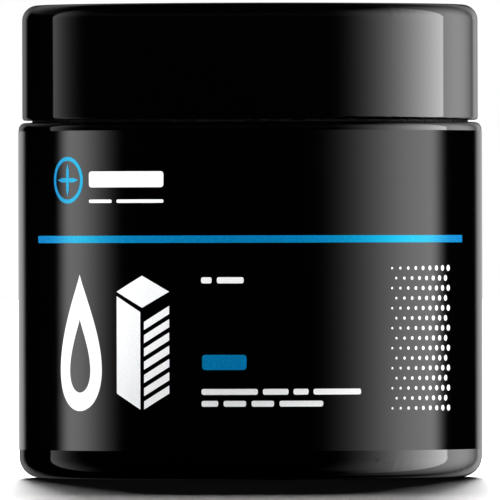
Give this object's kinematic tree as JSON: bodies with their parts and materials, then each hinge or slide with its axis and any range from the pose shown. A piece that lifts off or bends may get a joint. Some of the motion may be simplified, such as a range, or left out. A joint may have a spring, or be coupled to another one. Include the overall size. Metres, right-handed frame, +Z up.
{
  "type": "detailing clay jar",
  "caption": "Round double-wall jar with a screw lid and foam liner, a wrap label, and a film-wrapped block of car detailing clay inside.",
  "frame": {"origin": "centre of the base, on the plane that the jar stands on", "axes": "+Z up along the jar's axis, -Y towards the front of the label, +X to the right of someone facing the label"},
  "size_m": [0.076, 0.076, 0.0773],
  "materials": {
    "black_gloss": "gloss",
    "cup_plastic": "satin",
    "core_plastic": "satin",
    "label_film": "satin",
    "liner_foam": "matte",
    "clay": "matte",
    "clear_film": "gloss",
    "ink_white": "satin",
    "ink_blue": "satin"
  },
  "bodies": {
    "jar": {"jar_shell": "black_gloss", "inner_cup": "cup_plastic", "label": "label_film"},
    "clay": {"clay_bar": "clay", "clay_wrap": "clear_film"},
    "liner": {"lid_liner": "liner_foam"},
    "lid": {"lid_shell": "black_gloss", "lid_core": "core_plastic"}
  },
  "joints": [
    {"name": "lid_turn", "type": "hinge", "parent": "liner", "child": "lid", "pos_m": [0, 0, 0.072], "axis": [0, 0, 1], "range_deg": [0, 1080]},
    {"name": "lid_lift", "type": "slide", "parent": "jar", "child": "liner", "axis": [0, 0, 1], "range_m": [0, 0.036]},
    {"name": "clay_slide", "type": "slide", "parent": "jar", "child": "clay", "axis": [0, 0, 1], "range_m": [0, 0.005]}
  ],
  "couplings": [
    {"joint": "lid_lift", "follows": "lid_turn", "m_per_rad": 0.0019099}
  ]
}
